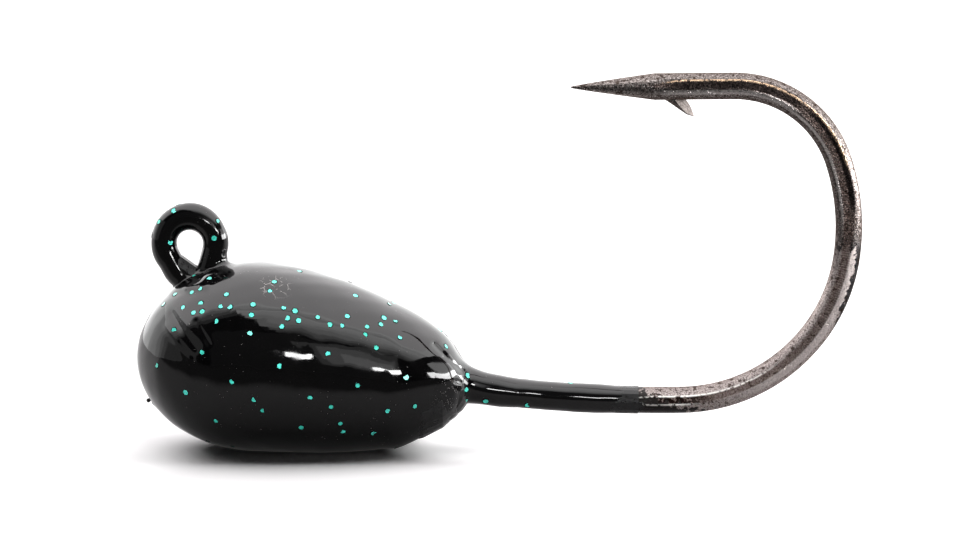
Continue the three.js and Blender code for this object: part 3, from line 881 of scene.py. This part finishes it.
class Surface:
    """A material with one Principled shader, and short calls for the nodes that feed it."""

    def __init__(self, name, **numbers):
        self.material = bpy.data.materials.new(name)
        self.material.use_nodes = True
        self.tree = self.material.node_tree
        self.shader = self.tree.nodes["Principled BSDF"]
        for socket, value in numbers.items():
            self.shader.inputs[socket.replace("_", " ")].default_value = value
        coords = self.tree.nodes.new("ShaderNodeTexCoord")
        to_mm = self.node("ShaderNodeVectorMath", operation="SCALE")
        to_mm.inputs["Scale"].default_value = 1 / MM
        self.link(coords.outputs["Object"], to_mm.inputs[0])
        self.place = to_mm.outputs[0]

    def node(self, kind, **settings):
        made = self.tree.nodes.new(kind)
        for key, value in settings.items():
            setattr(made, key, value)
        return made

    def link(self, source, target):
        self.tree.links.new(source, target)

    def feed(self, socket, source):
        self.link(source, self.shader.inputs[socket])

    def noise(self, scale, detail):
        """Noise with scale features to a millimetre."""
        made = self.node("ShaderNodeTexNoise")
        made.inputs["Scale"].default_value = scale
        made.inputs["Detail"].default_value = detail
        self.link(self.place, made.inputs["Vector"])
        return made.outputs["Fac"]

    def cells(self, scale):
        made = self.node("ShaderNodeTexVoronoi")
        made.inputs["Scale"].default_value = scale
        self.link(self.place, made.inputs["Vector"])
        return made.outputs["Distance"]

    def strands(self, scale):
        """Small along thin crooked lines."""
        made = self.node("ShaderNodeTexVoronoi", feature="DISTANCE_TO_EDGE")
        made.inputs["Scale"].default_value = scale
        self.link(self.place, made.inputs["Vector"])
        return made.outputs["Distance"]

    def near(self, middle, full, gone):
        """1 within one distance of a point in millimetres, and 0 beyond another."""
        made = self.node("ShaderNodeVectorMath", operation="DISTANCE")
        self.link(self.place, made.inputs[0])
        made.inputs[1].default_value = middle
        return self.span(made.outputs["Value"], gone, full)

    def attribute(self, name):
        return self.node("ShaderNodeAttribute", attribute_name=name).outputs["Fac"]

    def ramp(self, source, *stops):
        """Colours along a value: stops of (position, colour)."""
        made = self.node("ShaderNodeValToRGB")
        elements = made.color_ramp.elements
        while len(elements) < len(stops):
            elements.new(0.5)
        for element, (position, colour) in zip(elements, stops):
            element.position = position
            element.color = (*colour, 1)
        self.link(source, made.inputs["Fac"])
        return made.outputs["Color"]

    def span(self, source, low, high, to_low=0.0, to_high=1.0):
        """A value carried from one range to another, held at the ends."""
        made = self.node("ShaderNodeMapRange", interpolation_type="SMOOTHSTEP")
        limits = {"From Min": low, "From Max": high, "To Min": to_low, "To Max": to_high}
        for name, value in limits.items():
            made.inputs[name].default_value = value
        self.link(source, made.inputs["Value"])
        return made.outputs["Result"]

    def band(self, source, rise_from, rise_to, fall_from, fall_to):
        """1 in a band of a value, sloping to 0 on both sides of it."""
        rise = self.span(source, rise_from, rise_to)
        return self.times(rise, self.span(source, fall_to, fall_from))

    def over(self, source, limits):
        """A slope from 0 to 1 between two limits, or a band between four."""
        return self.span(source, *limits) if len(limits) == 2 else self.band(source, *limits)

    def strip(self, run, inward, limits):
        """1 on a stretch along the wire, in a strip across it."""
        along, across = limits
        return self.times(self.over(run, along), self.over(inward, across))

    def times(self, product, *factors):
        for factor in factors:
            product = self.maths("MULTIPLY", product, factor)
        return product

    def plus(self, total, *parts):
        for part in parts:
            total = self.maths("ADD", total, part)
        return total

    def less(self, a, b):
        return self.maths("SUBTRACT", a, b)

    def most(self, a, b):
        return self.maths("MAXIMUM", a, b)

    def maths(self, operation, a, b=None):
        made = self.node("ShaderNodeMath", operation=operation)
        for socket, value in zip(made.inputs, (a, b)):
            if isinstance(value, (int, float)):
                socket.default_value = value
            elif value is not None:
                self.link(value, socket)
        return made.outputs[0]

    def mix(self, share, a, b):
        made = self.node("ShaderNodeMix", data_type="RGBA")
        self.link(share, made.inputs["Factor"])
        for socket, value in ((made.inputs["A"], a), (made.inputs["B"], b)):
            if isinstance(value, tuple):
                socket.default_value = (*value, 1)
            else:
                self.link(value, socket)
        return made.outputs["Result"]

    def product(self, a, b):
        made = self.node("ShaderNodeMix", data_type="RGBA", blend_type="MULTIPLY")
        made.inputs["Factor"].default_value = 1.0
        self.link(a, made.inputs["A"])
        self.link(b, made.inputs["B"])
        return made.outputs["Result"]

    def bump(self, height, depth_mm):
        made = self.node("ShaderNodeBump")
        made.inputs["Distance"].default_value = depth_mm * MM
        self.link(height, made.inputs["Height"])
        self.feed("Normal", made.outputs["Normal"])


# Places of marks in the coat: a middle, and the distances within which they are whole and are gone.
# Pale specks near the tail paint the glints of fine bubbles there.
BUBBLE_GLINTS_AT = ((4.75, -1.1, 1.95), 0.4, 1.0)
SCRATCHES_AT = ((-0.95, -1.6, 5.8), 0.3, 0.66)
EYE_MATT_AT = ((-3.9, 0.0, 7.3), 1.0, 1.9)


def black_gloss():
    """Black coat under a clear gloss, with an uneven skin, dust specks and rubbed patches."""
    coat = Surface("black_gloss", IOR=1.5)
    patches = coat.span(coat.noise(0.55, 2), 0.45, 0.68)
    dust = coat.times(coat.span(coat.noise(13, 1), 0.735, 0.80), patches)
    # Pale specks for fine bubbles where the tail meets the wire, their glints painted in, and a tangle of
    # scratches on the shoulder.
    bubble_glints = coat.times(coat.span(coat.cells(14), 0.27, 0.16), coat.near(*BUBBLE_GLINTS_AT))
    bubble_glints = coat.times(bubble_glints, coat.span(coat.noise(4, 2), 0.38, 0.5))
    scratches = coat.times(coat.span(coat.strands(3.2), 0.055, 0.02), coat.near(*SCRATCHES_AT))
    scratches = coat.times(scratches, coat.span(coat.noise(5, 2), 0.44, 0.5))
    pale = coat.most(coat.most(dust, bubble_glints), scratches)
    tint = coat.ramp(
        coat.noise(1.3, 3), (0.3, (0.0025, 0.0025, 0.003)), (0.75, (0.0065, 0.006, 0.0065))
    )
    coat.feed("Base Color", coat.mix(pale, tint, (0.34, 0.32, 0.31)))
    gloss = coat.span(coat.noise(2.1, 4), 0.35, 0.75, 0.04, 0.10)
    matt = coat.times(coat.near(*EYE_MATT_AT), 0.03)
    coat.feed("Roughness", coat.plus(gloss, matt, coat.times(pale, 0.4)))
    coat.bump(coat.plus(coat.noise(1.6, 2), coat.times(pale, 0.7)), 0.006)
    return coat.material


# Where the hook's looks lie, in millimetres along the wire and in from its middle line. Two limits
# are a slope from none to full, and four are a band that rises and falls.
BARE_TO = 25.7
RAGGED_ALONG, RAGGED_ACROSS = 3.0, 0.45
PLATED_OUTSIDE = (21.6, 24.2, -0.52, -0.25)
SLATE_BEFORE = (26.2, 25.4)
MOTTLED = ((18.9, 17.4), (-0.12, -0.06, 0.16, 0.22))
RIDGED = (22.0, 24.5, 29.0, 31.0)
OUTER_STRIP = (-0.30, -0.22, -0.06, 0.0)
# Painted light along the flats: a highlight on the bare metal low down, the shade that they mirror higher
# up, a highlight line and a shaded rim.
RUBBED_AND_LIT = ((18.0, 20.5), OUTER_STRIP)
SHADE_BEND = ((26.3, 27.3, 30.2, 31.2), OUTER_STRIP)
SHADE_ARM = ((30.2, 31.2, 35.0, 36.0), (-0.31, -0.25, 0.03, 0.08))
HIGHLIGHT_BEND = ((26.0, 27.5, 30.5, 31.5), (0.19, 0.22, 0.27, 0.30))
HIGHLIGHT_ARM = ((30.5, 31.5, 35.0, 36.0), (0.06, 0.10, 0.20, 0.26))
SHADE_RIM = ((23.8, 25.5), (0.28, 0.33))
# Painted glints along the flats' creases: white low on the bend, golden higher up.
GLINT_INNER = ((15.5, 16.0, 19.5, 21.5), (0.10, 0.14))
GLINT_OUTER = ((15.5, 16.0, 17.2, 18.0), (0.0, -0.05))
GOLDEN_GLINT = ((28.0, 29.0, 35.0, 36.0), (-0.1, -0.15))
# The thin end of the paint reaches further along the outer side than along the inner one.
FILM_OUTER, FILM_INNER = 17.9, 16.0
FILM_FADES, FILM_BLOTCHED = 1.6, 2.2


def bare_share(steel, run, inward):
    """Where the plating has gone: up the bend, but for a ragged strip on its outer side."""
    jag = steel.less(steel.noise(4.5, 5), 0.5)
    reach = steel.less(steel.plus(steel.times(jag, RAGGED_ALONG), BARE_TO), run)
    kept = steel.plus(steel.span(run, *PLATED_OUTSIDE), steel.times(jag, RAGGED_ACROSS))
    edge = steel.less(inward, kept)
    return steel.times(steel.span(reach, -0.08, 0.08), steel.span(edge, -0.012, 0.012))


def metal_colours(steel, run, bare, grain):
    """Bare metal, and plating that is slate before the top of the bend and brown after it."""
    plating = steel.ramp(
        grain, (0.36, (0.06, 0.049, 0.046)), (0.52, (0.22, 0.19, 0.178)), (0.72, (0.56, 0.51, 0.49))
    )
    slate = steel.ramp(grain, (0.35, (0.028, 0.028, 0.030)), (0.7, (0.075, 0.075, 0.08)))
    metal = steel.ramp(
        grain, (0.34, (0.13, 0.105, 0.10)), (0.5, (0.35, 0.302, 0.288)), (0.7, (0.58, 0.52, 0.50))
    )
    return steel.mix(bare, steel.mix(steel.span(run, *SLATE_BEFORE), plating, slate), metal)


def shaded_above(steel, colour):
    """Faces turned up are painted darker, a painted shade that tones down the light they catch from above.
    """
    up = steel.node("ShaderNodeSeparateXYZ")
    steel.link(steel.node("ShaderNodeNewGeometry").outputs["Normal"], up.inputs[0])
    painted_shade = steel.span(up.outputs["Z"], 0.1, 0.8, 0.0, 0.42)
    return steel.product(colour, steel.mix(painted_shade, (1.0, 1.0, 1.0), (0.0, 0.0, 0.0)))


def side_strips(steel, colour, run, inward, bare):
    """Painted light in strips along the flats: a painted highlight where worn bare low down, painted shade
    above, a painted highlight line and a painted shaded rim.
    """
    # Painted highlight: bare metal low down on the outer strip is painted paler.
    rubbed_and_lit = steel.times(steel.strip(run, inward, RUBBED_AND_LIT), bare)
    colour = steel.mix(steel.times(rubbed_and_lit, 0.45), colour, (0.80, 0.72, 0.70))
    # Painted shade: black where the flats mirror the dark.
    bend = steel.times(steel.strip(run, inward, SHADE_BEND), 0.93)
    arm = steel.times(steel.strip(run, inward, SHADE_ARM), 0.90)
    colour = steel.mix(steel.most(bend, arm), colour, (0.006, 0.005, 0.005))
    # A painted highlight line along the flats.
    line = steel.most(steel.strip(run, inward, HIGHLIGHT_BEND), steel.strip(run, inward, HIGHLIGHT_ARM))
    colour = steel.mix(steel.times(line, 0.6), colour, (0.85, 0.78, 0.76))
    # A painted shaded rim.
    rim = steel.strip(run, inward, SHADE_RIM)
    return steel.mix(steel.times(rim, 0.6), colour, (0.02, 0.016, 0.016))


def crease_glints(steel, run, inward):
    """Painted glints on the flats' creases: white low on the bend, and golden higher up."""
    crease = steel.times(steel.attribute("crease"), steel.span(steel.noise(8.0, 4), 0.37, 0.50))
    inner, outer = (steel.strip(run, inward, limits) for limits in (GLINT_INNER, GLINT_OUTER))
    white_glint = steel.times(crease, steel.most(inner, outer))
    golden_glint = steel.times(crease, steel.strip(run, inward, GOLDEN_GLINT), 0.7)
    return white_glint, golden_glint


def paint_film(steel, run, inward, crease):
    """The coat thins out over the wire beyond its edge, and is taken off where the creases' glints are
    painted.
    """
    end = steel.span(inward, -WIRE_RADIUS, WIRE_RADIUS, FILM_OUTER, FILM_INNER)
    film = steel.maths("DIVIDE", steel.less(end, run), FILM_FADES)
    film = steel.plus(film, steel.times(steel.less(steel.noise(6, 5), 0.5), FILM_BLOTCHED))
    film = steel.less(steel.span(film, -0.05, 0.12), steel.times(crease, 0.9))
    return steel.most(film, 0.0)


def worn_steel():
    """Dark plating on forged steel, worn through to bare metal from the coat to half way round, with
    painted shade, highlights and glints along its flats.
    """
    steel = Surface("worn_steel", Specular_Tint=(0.45, 0.42, 0.40, 1.0))
    run, inward, flat = (steel.attribute(name) for name in ("run", "inward", "flat"))
    grain = steel.noise(20, 3)
    bare = bare_share(steel, run, inward)
    colour = metal_colours(steel, run, bare, grain)
    pits = steel.span(steel.noise(7.0, 6), 0.575, 0.63)
    colour = steel.mix(steel.times(pits, 0.85), colour, (0.035, 0.022, 0.016))
    # Near the paint the flat is mottled dark.
    mottle = steel.times(steel.span(steel.noise(9.0, 5), 0.41, 0.48), steel.strip(run, inward, MOTTLED))
    # Painted shade darkens the faces turned up.
    colour = shaded_above(steel, steel.mix(mottle, colour, (0.02, 0.012, 0.010)))
    # The flats are darker and browner than the round of the wire: painted shade, for the dark that they
    # mirror.
    flat_shade = steel.mix(bare, (0.62, 0.53, 0.50), (0.46, 0.41, 0.39))
    colour = steel.product(colour, steel.mix(flat, (1.0, 1.0, 1.0), flat_shade))
    colour = side_strips(steel, colour, run, inward, bare)
    white_glint, golden_glint = crease_glints(steel, run, inward)
    # Painted glints on the creases.
    colour = steel.mix(golden_glint, colour, (0.80, 0.56, 0.38))
    colour = steel.mix(white_glint, colour, (1.0, 0.97, 0.93))
    film = paint_film(steel, run, inward, steel.most(white_glint, golden_glint))
    steel.feed("Base Color", steel.mix(film, colour, (0.008, 0.006, 0.006)))
    steel.feed("Metallic", steel.less(1.0, film))
    rough = steel.span(steel.noise(15, 3), 0.3, 0.7, 0.22, 0.36)
    steel.feed("Roughness", steel.plus(rough, steel.times(bare, 0.14)))
    # Grain and pits, the step down to bare metal, and fine ridges across the flats.
    relief = steel.plus(steel.less(grain, steel.times(pits, 0.8)), steel.times(bare, -0.6))
    ridges = steel.times(flat, steel.over(run, RIDGED), steel.maths("SINE", steel.times(run, 80.0)))
    steel.bump(steel.plus(relief, steel.times(ridges, 0.5)), 0.010)
    return steel.material


def fresh_cut_steel():
    """The plain grey face that the barb's cut left."""
    steel = Surface("fresh_cut_steel", Metallic=0.9)
    grain = steel.noise(18, 3)
    steel.feed("Base Color", steel.ramp(grain, (0.3, (0.15, 0.125, 0.115)), (0.7, (0.46, 0.41, 0.385))))
    steel.feed("Roughness", steel.span(grain, 0.3, 0.7, 0.5, 0.65))
    steel.bump(grain, 0.008)
    return steel.material


def teal_foil():
    """Teal metallic foil under gloss, never quite alike."""
    foil = Surface("teal_foil", Metallic=0.25, IOR=1.5, Coat_Weight=1.0, Coat_Roughness=0.08)
    tones = ((0.0, (0.04, 0.68, 0.53)), (0.5, (0.06, 0.85, 0.68)), (1.0, (0.10, 1.0, 0.84)))
    tone = foil.ramp(foil.attribute("tone"), *tones)
    shine = foil.mix(foil.span(foil.noise(14, 2), 0.35, 0.65, 0.0, 0.35), tone, (0.01, 0.42, 0.30))
    foil.feed("Base Color", shine)
    foil.feed("Roughness", foil.span(foil.noise(9, 2), 0.3, 0.7, 0.30, 0.45))
    return foil.material


def flake_edge_shade():
    """Painted shade on a flake's edge, where the coat dips round it: dark, and mirroring nothing."""
    edge = Surface("flake_edge_shade", Specular_IOR_Level=0.0)
    grain = edge.noise(9, 2)
    edge.feed("Base Color", edge.ramp(grain, (0.3, (0.004, 0.006, 0.006)), (0.7, (0.012, 0.020, 0.018))))
    edge.feed("Roughness", edge.span(grain, 0.3, 0.7, 0.8, 0.95))
    return edge.material


def sintered_tungsten():
    metal = Surface("sintered_tungsten", Metallic=1.0)
    grain = metal.noise(16, 5)
    metal.feed("Base Color", metal.ramp(grain, (0.3, (0.16, 0.16, 0.165)), (0.7, (0.34, 0.335, 0.33))))
    metal.feed("Roughness", metal.span(grain, 0.3, 0.7, 0.5, 0.75))
    metal.bump(grain, 0.01)
    return metal.material


def brazing_metal():
    metal = Surface("brazing_metal", Metallic=1.0)
    grain = metal.noise(5, 4)
    metal.feed("Base Color", metal.ramp(grain, (0.3, (0.40, 0.34, 0.22)), (0.7, (0.66, 0.60, 0.47))))
    metal.feed("Roughness", metal.span(grain, 0.3, 0.7, 0.3, 0.55))
    metal.bump(grain, 0.02)
    return metal.material


def baked_black():
    paint = Surface("baked_black", IOR=1.5)
    grain = paint.noise(7, 4)
    paint.feed("Base Color", paint.ramp(grain, (0.3, (0.003, 0.003, 0.0035)), (0.7, (0.010, 0.010, 0.011))))
    paint.feed("Roughness", paint.span(grain, 0.3, 0.7, 0.25, 0.45))
    paint.bump(grain, 0.006)
    return paint.material


# Painted light: to the eye the sheet glows, lifting its shadows under the hook and the tail, before the
# nose and the belly.
HOOK_LIT = (4.6, 8.0, 0.0, 0.40)
TAIL_LIT, TAIL_LIT_BY = ((5.4, 0.0, 0.0), 1.2, 3.0), 0.5
NOSE_LIT, NOSE_LIT_BY = ((-6.2, -1.5, 0.0), 1.0, 3.4), 0.2
FRONT_LIT = (-2.0, -3.0, 0.0, 0.12)
# Painted light: the sheet also glows a little in what the gloss mirrors.
GLOSS_LIT_BY = 0.06
# Painted reflection: what the gloss mirrors of the sheet is painted dark at the near edge, and lighter far
# off and behind.
FRONT_MIRRORED = (-12.0, -7.0, 0.02, 0.25)
BACK_MIRRORED = (-3.0, 3.0, 0.0, 0.35)


def pale_paper():
    """The floor: pale to the eye, with painted light lifting its shadows, and painted darker in what the
    gloss mirrors.
    """
    white = (1.0, 1.0, 1.0, 1.0)
    paper = Surface("pale_paper", Roughness=0.9, Specular_IOR_Level=0.0, Emission_Color=white)
    grain = paper.ramp(paper.noise(0.6, 3), (0.0, (0.90, 0.90, 0.90)), (1.0, (0.93, 0.93, 0.93)))
    seen = paper.node("ShaderNodeLightPath").outputs["Is Camera Ray"]
    apart = paper.node("ShaderNodeSeparateXYZ")
    paper.link(paper.place, apart.inputs[0])
    along, back = apart.outputs["X"], apart.outputs["Y"]
    # Painted light: a glow that lifts the sheet's shadows to the eye, and a faint one in reflections.
    tail = paper.times(paper.near(*TAIL_LIT), TAIL_LIT_BY)
    nose = paper.times(paper.near(*NOSE_LIT), NOSE_LIT_BY)
    lit = paper.plus(paper.most(paper.span(along, *HOOK_LIT), tail), nose, paper.span(back, *FRONT_LIT))
    unseen = paper.times(paper.less(1.0, seen), GLOSS_LIT_BY)
    paper.feed("Emission Strength", paper.plus(paper.times(lit, seen), unseen))
    # Painted reflection: the sheet is darker in what the gloss mirrors than to the eye.
    mirrored = paper.plus(paper.span(back, *FRONT_MIRRORED), paper.span(back, *BACK_MIRRORED))
    paper.feed("Base Color", paper.mix(seen, mirrored, grain))
    return paper.material


# ---- camera, light and floor ----

VIEW_ELEVATION = 10
VIEW_WIDTH = 32.6
LENS = 120
VIEW_TARGET = Vector((6.07, 0.0, 5.89)) * MM


def aim_at(thing, target):
    thing.rotation_mode = "QUATERNION"
    thing.rotation_quaternion = (target - thing.location).to_track_quat("-Z", "Y")


def polar(target, azimuth, elevation, distance):
    """A point at a bearing from a target: azimuth 0 is towards the viewer and 90 towards +X."""
    a, e = math.radians(azimuth), math.radians(elevation)
    way = Vector((math.sin(a) * math.cos(e), -math.cos(a) * math.cos(e), math.sin(e)))
    return target + way * distance


def make_camera():
    data = bpy.data.cameras.new("view")
    data.lens = LENS
    distance = VIEW_WIDTH * MM * LENS / data.sensor_width
    data.clip_start, data.clip_end = distance * 0.05, distance * 100
    camera = bpy.data.objects.new("view", data)
    bpy.context.scene.collection.objects.link(camera)
    camera.location = polar(VIEW_TARGET, 0, VIEW_ELEVATION, distance)
    aim_at(camera, VIEW_TARGET)
    bpy.context.scene.camera = camera


def add_light(name, location, target, size, radiance, colour=(1, 1, 1)):
    """A rectangular lamp. Its power follows from its size and how bright its face is."""
    data = bpy.data.lights.new(name, "AREA")
    data.shape, data.size, data.size_y = "RECTANGLE", size[0], size[1]
    data.energy = radiance * math.pi * size[0] * size[1]
    data.color = colour
    lamp = bpy.data.objects.new(name, data)
    bpy.context.scene.collection.objects.link(lamp)
    lamp.location = location
    lamp.visible_camera = False
    aim_at(lamp, target)
    return lamp


HEAD_MIDDLE = Vector((-0.3, 0.0, 3.0)) * MM
SOFTBOX_HEIGHT = 0.15
SOFTBOX_FRONT, SOFTBOX_BACK = -0.040, 0.245
SOFTBOX_WIDTH = 0.40
SOFTBOX_BRIGHT = 3.0
SOFTBOX_TINT = (1.0, 0.975, 0.985)
FLOOR_EXTRA = 1.5
# A nudge that keeps a lamp that faces straight down from rolling.
ROLL_GUARD = 1e-6
LAMP_DISTANCE = 0.14
# Small lamps that the gloss mirrors: bearing, elevation, width and height, brightness.
LAMPS = [
    ("lamp_streak", 41, 13, 0.034, 0.012, 34),
    ("lamp_glow_outer", 32, 22, 0.070, 0.058, 0.4),
    ("lamp_glow", 32, 21, 0.050, 0.040, 0.5),
    ("lamp_glow_inner", 34, 20, 0.028, 0.022, 0.6),
    ("lamp_front", 11.5, 15, 0.020, 0.009, 30),
    ("lamp_side", 95, 14, 0.110, 0.036, 2.5),
    ("lamp_side_low", 92, 6, 0.120, 0.019, 18),
]
# The same for lamps that light only the hook, and for one that lights only the glitter.
HOOK_LAMPS = [
    ("hook_bevel", 64, 20, 0.014, 0.060, 50),
    ("hook_top", 0, 62, 0.120, 0.040, 2.2),
]
FLAKE_FILL = ("flake_fill", 0, 22, 0.12, 0.08, 5.0)
# White panels of the light tent: the middle of each, its size and its brightness. Those of the roof
# face down. They fade out towards the viewer, and over the right half they reach nearer.
PANELS = [
    ("roof_edge_1", (0.0, -0.044, 0.150), (0.52, 0.008), 2.0),
    ("roof_edge_2", (0.0, -0.052, 0.150), (0.52, 0.008), 1.2),
    ("roof_edge_3", (0.0, -0.062, 0.150), (0.52, 0.012), 0.6),
    ("roof_edge_4", (0.0, -0.077, 0.150), (0.52, 0.018), 0.25),
    ("roof_near_1", (0.100, -0.051, 0.149), (0.32, 0.022), 1.5),
    ("roof_near_2", (0.107, -0.069, 0.149), (0.305, 0.014), 2.5),
    ("roof_near_3", (0.115, -0.083, 0.149), (0.29, 0.014), 2.4),
    ("roof_near_4", (0.120, -0.0975, 0.149), (0.28, 0.015), 2.1),
    ("roof_near_5", (0.130, -0.115, 0.149), (0.26, 0.020), 1.6),
    ("roof_near_6", (0.135, -0.134, 0.149), (0.25, 0.018), 0.9),
    ("roof_near_7", (0.140, -0.152, 0.149), (0.24, 0.018), 0.45),
    ("roof_left", (-0.235, 0.10, 0.150), (0.07, 0.29), 3.0),
    ("roof_right", (0.235, 0.10, 0.150), (0.07, 0.29), 3.3),
    ("wall_back", (0.0, 0.250, 0.075), (0.54, 0.155), 3.0),
    ("wall_left_1", (-0.27, 0.200, 0.075), (0.10, 0.155), 2.6),
    ("wall_left_2", (-0.27, 0.125, 0.075), (0.05, 0.155), 1.9),
    ("wall_left_3", (-0.27, 0.080, 0.075), (0.04, 0.155), 1.8),
    ("wall_left_4", (-0.27, 0.040, 0.075), (0.04, 0.155), 1.4),
    ("wall_left_5", (-0.27, 0.005, 0.075), (0.03, 0.155), 1.0),
    ("wall_left_6", (-0.27, -0.025, 0.075), (0.03, 0.155), 0.65),
    ("wall_left_7", (-0.27, -0.15, 0.075), (0.22, 0.155), 0.32),
    ("wall_front", (0.0, -0.35, 0.15), (0.54, 0.30), 0.06),
    ("wall_right", (0.27, 0.165, 0.075), (0.17, 0.155), 3.2),
]


def faced_by(name, place):
    """What a panel faces: the roof the floor below it, side walls X = 0, and end walls Y = 0."""
    if name.startswith("roof"):
        return Vector((place.x, place.y + ROLL_GUARD, 0.0))
    if place.x:
        return Vector((0.0, place.y, place.z))
    return Vector((0.0, 0.0, place.z))


def small_lamp(name, azimuth, elevation, width, height, radiance):
    place = polar(HEAD_MIDDLE, azimuth, elevation, LAMP_DISTANCE)
    return add_light(name, place, HEAD_MIDDLE, (width, height), radiance)


WORLD_COLOUR = (0.02, 0.02, 0.021, 1)
FLOOR_SIZE = 1.2


def light_only(lamp, piece):
    """Keeps a lamp's light to one piece."""
    group = bpy.data.collections.new(f"{lamp.name}_lights")
    group.objects.link(piece)
    lamp.light_linking.receiver_collection = group


def make_lights(hook, glitter, floor):
    middle, depth = (SOFTBOX_FRONT + SOFTBOX_BACK) / 2, SOFTBOX_BACK - SOFTBOX_FRONT
    above = Vector((0.0, middle, SOFTBOX_HEIGHT))
    below = Vector((0.0, middle + ROLL_GUARD, 0.0))
    size = (SOFTBOX_WIDTH, depth)
    add_light("softbox", above, below, size, SOFTBOX_BRIGHT, SOFTBOX_TINT)
    light_only(add_light("softbox_floor", above, below, size, FLOOR_EXTRA), floor)
    for row in LAMPS + HOOK_LAMPS:
        lamp = small_lamp(*row)
        lamp.visible_diffuse = False
        if row in HOOK_LAMPS:
            light_only(lamp, hook)
    light_only(small_lamp(*FLAKE_FILL), glitter)
    for name, place, size, radiance in PANELS:
        place = Vector(place)
        panel = add_light(name, place, faced_by(name, place), size, radiance)
        panel.visible_diffuse = False
    world = bpy.data.worlds.new("studio")
    world.use_nodes = True
    world.node_tree.nodes["Background"].inputs["Color"].default_value = WORLD_COLOUR
    bpy.context.scene.world = world


def make_floor():
    size = FLOOR_SIZE
    corners = [(-size, -size, 0), (size, -size, 0), (size, size, 0), (-size, size, 0)]
    mesh = bpy.data.meshes.new("floor")
    mesh.from_pydata(corners, [], [(0, 1, 2, 3)])
    mesh.materials.append(pale_paper())
    floor = bpy.data.objects.new("floor", mesh)
    bpy.context.scene.collection.objects.link(floor)
    return floor


# ---- the whole ----


def dress(node, material):
    """Puts a material on a CAD node that stays."""
    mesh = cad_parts[node].data
    mesh.materials.clear()
    mesh.materials.append(material)


flake_names = sorted(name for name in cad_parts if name.startswith("flake_"))

make_camera()
floor = make_floor()
coat_skin = make_coat(black_gloss())
hook_piece = make_hook(worn_steel(), fresh_cut_steel())
glitter_piece = make_glitter(coat_skin, teal_foil(), flake_edge_shade())
make_lights(hook_piece, glitter_piece, floor)
dress("tungsten_weight", sintered_tungsten())
dress("braze_filler", brazing_metal())
dress("base_coat", baked_black())
bpy.context.scene.view_settings.view_transform = "Standard"
